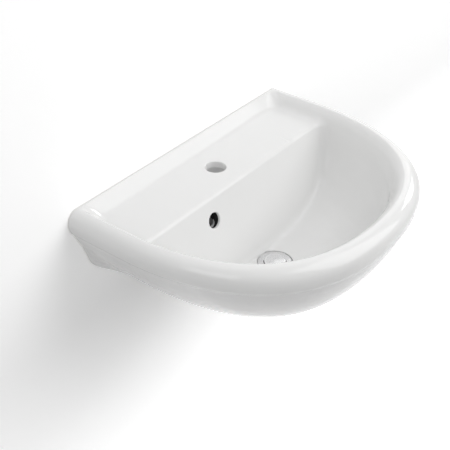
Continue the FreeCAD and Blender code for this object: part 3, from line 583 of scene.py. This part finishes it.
def threaded_rod_tree():
    """Winds a hanger bolt's threads on its rod: the nut's in front, the wood thread in the wall."""
    found = bpy.data.node_groups.get("threaded_rod")
    if found:
        return found
    tree = bpy.data.node_groups.new("threaded_rod", "GeometryNodeTree")
    tree.is_modifier = True
    tree.interface.new_socket(name="Rod", in_out="INPUT", socket_type="NodeSocketGeometry")
    for label, kind, value in ROD_SIZES:
        socket = tree.interface.new_socket(name=label, in_out="INPUT", socket_type="NodeSocket" + kind)
        if value is not None:
            socket.default_value = value
    tree.interface.new_socket(name="Rod", in_out="OUTPUT", socket_type="NodeSocketGeometry")
    source, sink = tree.nodes.new("NodeGroupInput"), tree.nodes.new("NodeGroupOutput")
    join = tree.nodes.new("GeometryNodeJoinGeometry")
    tree.links.new(source.outputs["Rod"], join.inputs[0])
    for first, last, ridge, pitch, start, length in ROD_THREADS:
        turn = tree.nodes.new("GeometryNodeGroup")
        turn.node_tree = winding_group()
        for label, feed in (
                ("Start radius", first), ("End radius", last), ("Ridge", ridge), ("Pitch", pitch),
                ("Start", start), ("Length", length), ("Across", "Across"),
                ("Steps per turn", "Steps per turn")):
            tree.links.new(source.outputs[feed], turn.inputs[label])
        tree.links.new(turn.outputs["Thread"], join.inputs[0])
    real = tree.nodes.new("GeometryNodeRealizeInstances")
    paint = tree.nodes.new("GeometryNodeSetMaterial")
    tree.links.new(join.outputs[0], real.inputs[0])
    tree.links.new(real.outputs[0], paint.inputs["Geometry"])
    tree.links.new(source.outputs["Finish"], paint.inputs["Material"])
    tree.links.new(paint.outputs["Geometry"], sink.inputs["Rod"])
    return tree


def set_sizes(modifier, values):
    """Sets a shape tree's named inputs on its modifier."""
    for item in modifier.node_group.interface.items_tree:
        if item.item_type == "SOCKET" and item.in_out == "INPUT" and item.name in values:
            modifier[item.identifier] = values[item.name]


def made_plain(thing, name):
    """The evaluated shape of an object as a plain mesh object at the origin; the object is taken away."""
    shape = thing.evaluated_get(bpy.context.evaluated_depsgraph_get())
    mesh = bpy.data.meshes.new_from_object(shape)
    mesh.name = name
    thing.modifiers.clear()
    bpy.data.objects.remove(thing)
    plain = bpy.data.objects.new(name, mesh)
    bpy.context.collection.objects.link(plain)
    return plain


# ------------------------------------------------------------------- operators
class BASIN_OT_body(bpy.types.Operator):
    """Makes the glazed ceramic body"""
    bl_idname = "basin.body"
    bl_label = "Ceramic body"

    def execute(self, context):
        settings = context.scene.basin_ceramic
        cast = from_node("basin_body", "cast_body")
        smooth_by_angle(cast.data, settings.crease)
        glaze = even_normals(cast, "ceramic_body")
        glaze.data.materials.clear()
        glaze.data.materials.append(glazed_ceramic(settings))
        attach(glaze, "basin")
        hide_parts("basin_body")
        return {"FINISHED"}


class BASIN_OT_waste(bpy.types.Operator):
    """Finishes the waste, its seals and the plug"""
    bl_idname = "basin.waste"
    bl_label = "Waste and plug"

    def execute(self, context):
        settings = context.scene.basin_waste
        fixing = context.scene.basin_fixing
        free_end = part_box("waste_body")[0][2]
        threads = [("Z", free_end + start, free_end + end, settings.thread_pitch)
                   for start, end in TAIL_THREADS]
        chrome = metal("waste_chrome", settings.chrome, (0.42, 0.42, 0.42), 0.25, 0.10, 0.12, threads)
        finish_node("waste_body", chrome)
        finish_node("plug_cap", metal("plug_chrome", settings.chrome, (0.5, 0.5, 0.5), 0.15, 0.16, 0.10))
        brass = metal("turned_brass", settings.brass, (0.35, 0.22, 0.10), 0.5, 0.24, 0.2)
        for node in ("waste_backnut", "plug_stem", "cartridge_nut"):
            finish_node(node, brass)
        rubber = moulded("seal_rubber", settings.rubber, 0.55, mottle=0.3, grain=2200.0, dust=0.12)
        for node in ("waste_top_seal", "waste_bottom_seal", "plug_seal"):
            finish_node(node, rubber)
        grey = moulded("grey_plastic", (0.30, 0.31, 0.32), 0.42)
        for node in ("waste_slip_washer", "plug_cartridge", "cartridge_lid"):
            finish_node(node, grey)
        finish_node("plug_ratchet", moulded("ratchet_plastic", fixing.plastic, 0.38))
        wire = metal("spring_wire", (0.50, 0.50, 0.51), (0.3, 0.28, 0.26), 0.3, 0.22, 0.15)
        finish_node("plug_spring", wire)
        return {"FINISHED"}


class BASIN_OT_fixings(bpy.types.Operator):
    """Finishes the wall fixings"""
    bl_idname = "basin.fixings"
    bl_label = "Wall fixings"

    def execute(self, context):
        settings = context.scene.basin_fixing
        zinc = metal("zinc_plate", settings.zinc, (0.70, 0.66, 0.50), 0.45, 0.26, 0.22)
        plastic = moulded("white_plastic", settings.plastic, 0.36)
        for side, across in (("left", -BOLT_ACROSS), ("right", BOLT_ACROSS)):
            rod = from_node("hanger_bolt_" + side, "rod_" + side)
            cut = rod.modifiers.new("threads", "NODES")
            cut.node_group = threaded_rod_tree()
            set_sizes(cut, {
                "Across": across, "Nut pitch": settings.nut_pitch, "Wood pitch": settings.wood_pitch,
                "Steps per turn": settings.thread_steps, "Finish": zinc})
            bolt = made_plain(rod, "threaded_bolt_" + side)
            smooth_by_angle(bolt.data, math.radians(BOLT_CREASE))
            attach(bolt, "basin")
            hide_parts("hanger_bolt_" + side)
            for node in ("fixing_washer_", "fixing_nut_"):
                finish_node(node + side, zinc)
            for node in ("fixing_bush_", "nut_cap_"):
                finish_node(node + side, plastic)
        return {"FINISHED"}


class BASIN_OT_studio(bpy.types.Operator):
    """Makes the wall, the floor, the lights and the camera"""
    bl_idname = "basin.studio"
    bl_label = "Studio"

    def execute(self, context):
        settings = context.scene.basin_studio
        base = -settings.floor_drop
        wall = flat_sheet("studio_wall", [
            (-ROOM_HALF, WALL_GAP, base), (ROOM_HALF, WALL_GAP, base),
            (ROOM_HALF, WALL_GAP, ROOM_TOP), (-ROOM_HALF, WALL_GAP, ROOM_TOP)])
        floor = flat_sheet("studio_floor", [
            (-ROOM_HALF, ROOM_FRONT, base), (ROOM_HALF, ROOM_FRONT, base),
            (ROOM_HALF, WALL_GAP, base), (-ROOM_HALF, WALL_GAP, base)])
        wall.data.materials.append(
            backdrop("wall_paint", settings.wall, settings.wall_lift, settings.wall_painted_light_below))
        floor.data.materials.append(backdrop("floor_paint", settings.floor, settings.floor_lift, 0.0))
        for name, power, place, side in LAMPS:
            lamp(name, Vector(place), Vector(LAMP_AIM), side, getattr(settings, power))
        context.scene.world = soft_sky(settings)
        photo_camera(context.scene)
        context.scene.view_settings.view_transform = "Standard"
        return {"FINISHED"}


class BASIN_PT_panel(bpy.types.Panel):
    """Lists the basin's pieces and their sizes"""
    bl_idname = "BASIN_PT_panel"
    bl_label = "Wall hung basin"
    bl_space_type = "VIEW_3D"
    bl_region_type = "UI"
    bl_category = "Basin"

    def draw(self, context):
        scene = context.scene
        for operator, owner, names in (
                ("basin.body", scene.basin_ceramic,
                 ("glaze", "biscuit", "gloss", "bare_back", "duct_shade_from", "crease")),
                ("basin.waste", scene.basin_waste, ("chrome", "brass", "rubber", "thread_pitch")),
                ("basin.fixings", scene.basin_fixing,
                 ("zinc", "plastic", "nut_pitch", "wood_pitch", "thread_steps")),
                ("basin.studio", scene.basin_studio,
                 ("wall", "wall_lift", "wall_painted_light_below", "floor", "floor_lift", "floor_drop", "key", "fill",
                  "side", "sky", "ground"))):
            box = self.layout.box()
            box.operator(operator)
            for name in names:
                box.prop(owner, name)


# ---------------------------------------------------------------------- studio
def flat_sheet(name, corners):
    """A four-cornered sheet that faces the room."""
    mesh = bpy.data.meshes.new(name)
    mesh.from_pydata(corners, [], [(0, 1, 2, 3)])
    mesh.update()
    thing = bpy.data.objects.new(name, mesh)
    bpy.context.collection.objects.link(thing)
    return thing


def soft_sky(settings):
    """Even light that is a little stronger from above than from below."""
    world = bpy.data.worlds.new("studio_sky")
    world.use_nodes = True
    tree = world.node_tree
    axes = axes_of(tree, tree.nodes.new("ShaderNodeTexCoord").outputs["Generated"])
    share = math_node(tree, "MULTIPLY_ADD", axes["Z"], 0.5, 0.5, clamp=True)
    level = math_node(tree, "MULTIPLY_ADD", share, settings.sky - settings.ground, settings.ground)
    back = tree.nodes["Background"]
    back.inputs["Color"].default_value = (1, 1, 1, 1)
    tree.links.new(level, back.inputs["Strength"])
    return world


def backdrop(name, colour, lift, painted_light_below):
    """Pale matt paint that the camera and reflections see lifted towards white, with the basin's shadow, and
    with painted light that makes it paler towards the floor where painted_light_below is given.
    It is clear from behind, and to a ray that reaches it within TOUCHING, so the basin's back shows."""
    material, tree, shader = new_material(name)
    tree.nodes.remove(shader)
    output = tree.nodes["Material Output"]
    mottle = tree.nodes.new("ShaderNodeTexNoise")
    mottle.inputs["Scale"].default_value = 3.0
    patches = math_node(tree, "MULTIPLY", mottle.outputs["Fac"], 0.02)
    tone = mix_colour(tree, patches, colour4(colour), PAINT_MOTTLE)
    path = tree.nodes.new("ShaderNodeLightPath")
    mirrored = math_node(tree, "MAXIMUM", path.outputs["Is Glossy Ray"], path.outputs["Is Transmission Ray"])
    seen = math_node(tree, "MAXIMUM", path.outputs["Is Camera Ray"], mirrored)
    more = lift - 1.0
    # painted light: the wall is made paler towards the floor
    if painted_light_below:
        height = axes_of(tree, on_piece(tree))["Z"]
        painted_light_share = math_node(tree, "MULTIPLY_ADD", height, PAINTED_LIGHT_SLOPE, PAINTED_LIGHT_START, clamp=True)
        more = math_node(tree, "MULTIPLY_ADD", painted_light_share, painted_light_below, more)
    paler = tree.nodes.new("ShaderNodeVectorMath")
    paler.operation = "SCALE"
    tree.links.new(tone, paler.inputs[0])
    tree.links.new(math_node(tree, "MULTIPLY_ADD", seen, more, 1.0), paler.inputs["Scale"])
    matt = tree.nodes.new("ShaderNodeBsdfDiffuse")
    tree.links.new(paler.outputs[0], matt.inputs["Color"])
    clear = tree.nodes.new("ShaderNodeBsdfTransparent")
    touching = math_node(tree, "LESS_THAN", path.outputs["Ray Length"], TOUCHING)
    backfacing = tree.nodes.new("ShaderNodeNewGeometry").outputs["Backfacing"]
    choose = tree.nodes.new("ShaderNodeMixShader")
    tree.links.new(math_node(tree, "MAXIMUM", backfacing, touching), choose.inputs[0])
    tree.links.new(matt.outputs[0], choose.inputs[1])
    tree.links.new(clear.outputs[0], choose.inputs[2])
    tree.links.new(choose.outputs[0], output.inputs["Surface"])
    return material


def lamp(name, place, aim, size, power):
    """A square soft light that looks at a point."""
    data = bpy.data.lights.new(name, "AREA")
    data.shape = "SQUARE"
    data.size = size
    data.energy = power
    thing = bpy.data.objects.new(name, data)
    thing.location = place
    thing.rotation_euler = (aim - place).to_track_quat("-Z", "Y").to_euler()
    bpy.context.collection.objects.link(thing)


def photo_camera(scene):
    """The camera at the photograph's angle."""
    turn, lift, roll = (math.radians(angle) for angle in (CAMERA_TURN, CAMERA_LIFT, CAMERA_ROLL))
    flat = Vector((math.cos(turn), math.sin(turn), 0.0))
    back = Vector((math.sin(turn) * math.cos(lift), -math.cos(turn) * math.cos(lift), math.sin(lift)))
    steep = back.cross(flat)
    right = flat * math.cos(roll) + steep * math.sin(roll)
    up = steep * math.cos(roll) - flat * math.sin(roll)
    data = bpy.data.cameras.new("photo_camera")
    data.sensor_width = SENSOR
    data.lens = PHOTO_FOCAL * SENSOR / PHOTO_SIDE
    data.clip_end = CAMERA_SIGHT
    camera = bpy.data.objects.new("photo_camera", data)
    place = Matrix((right, up, back)).transposed().to_4x4()
    place.translation = Vector(CAMERA_PLACE)
    camera.matrix_world = place
    bpy.context.collection.objects.link(camera)
    scene.camera = camera


# -------------------------------------------------------------- registration
OPERATORS = (BASIN_OT_body, BASIN_OT_waste, BASIN_OT_fixings, BASIN_OT_studio)
HOLDERS = {"basin_ceramic": CeramicSettings, "basin_waste": WasteSettings, "basin_fixing": FixingSettings,
           "basin_studio": StudioSettings}
CLASSES = (*HOLDERS.values(), *OPERATORS, BASIN_PT_panel)


def register():
    for kind in CLASSES:
        bpy.utils.register_class(kind)
    for name, kind in HOLDERS.items():
        setattr(bpy.types.Scene, name, PointerProperty(type=kind))


def unregister():
    for name in HOLDERS:
        delattr(bpy.types.Scene, name)
    for kind in reversed(CLASSES):
        bpy.utils.unregister_class(kind)


def main():
    register()
    bpy.ops.basin.body()
    bpy.ops.basin.waste()
    bpy.ops.basin.fixings()
    bpy.ops.basin.studio()


if __name__ == "__main__":
    main()
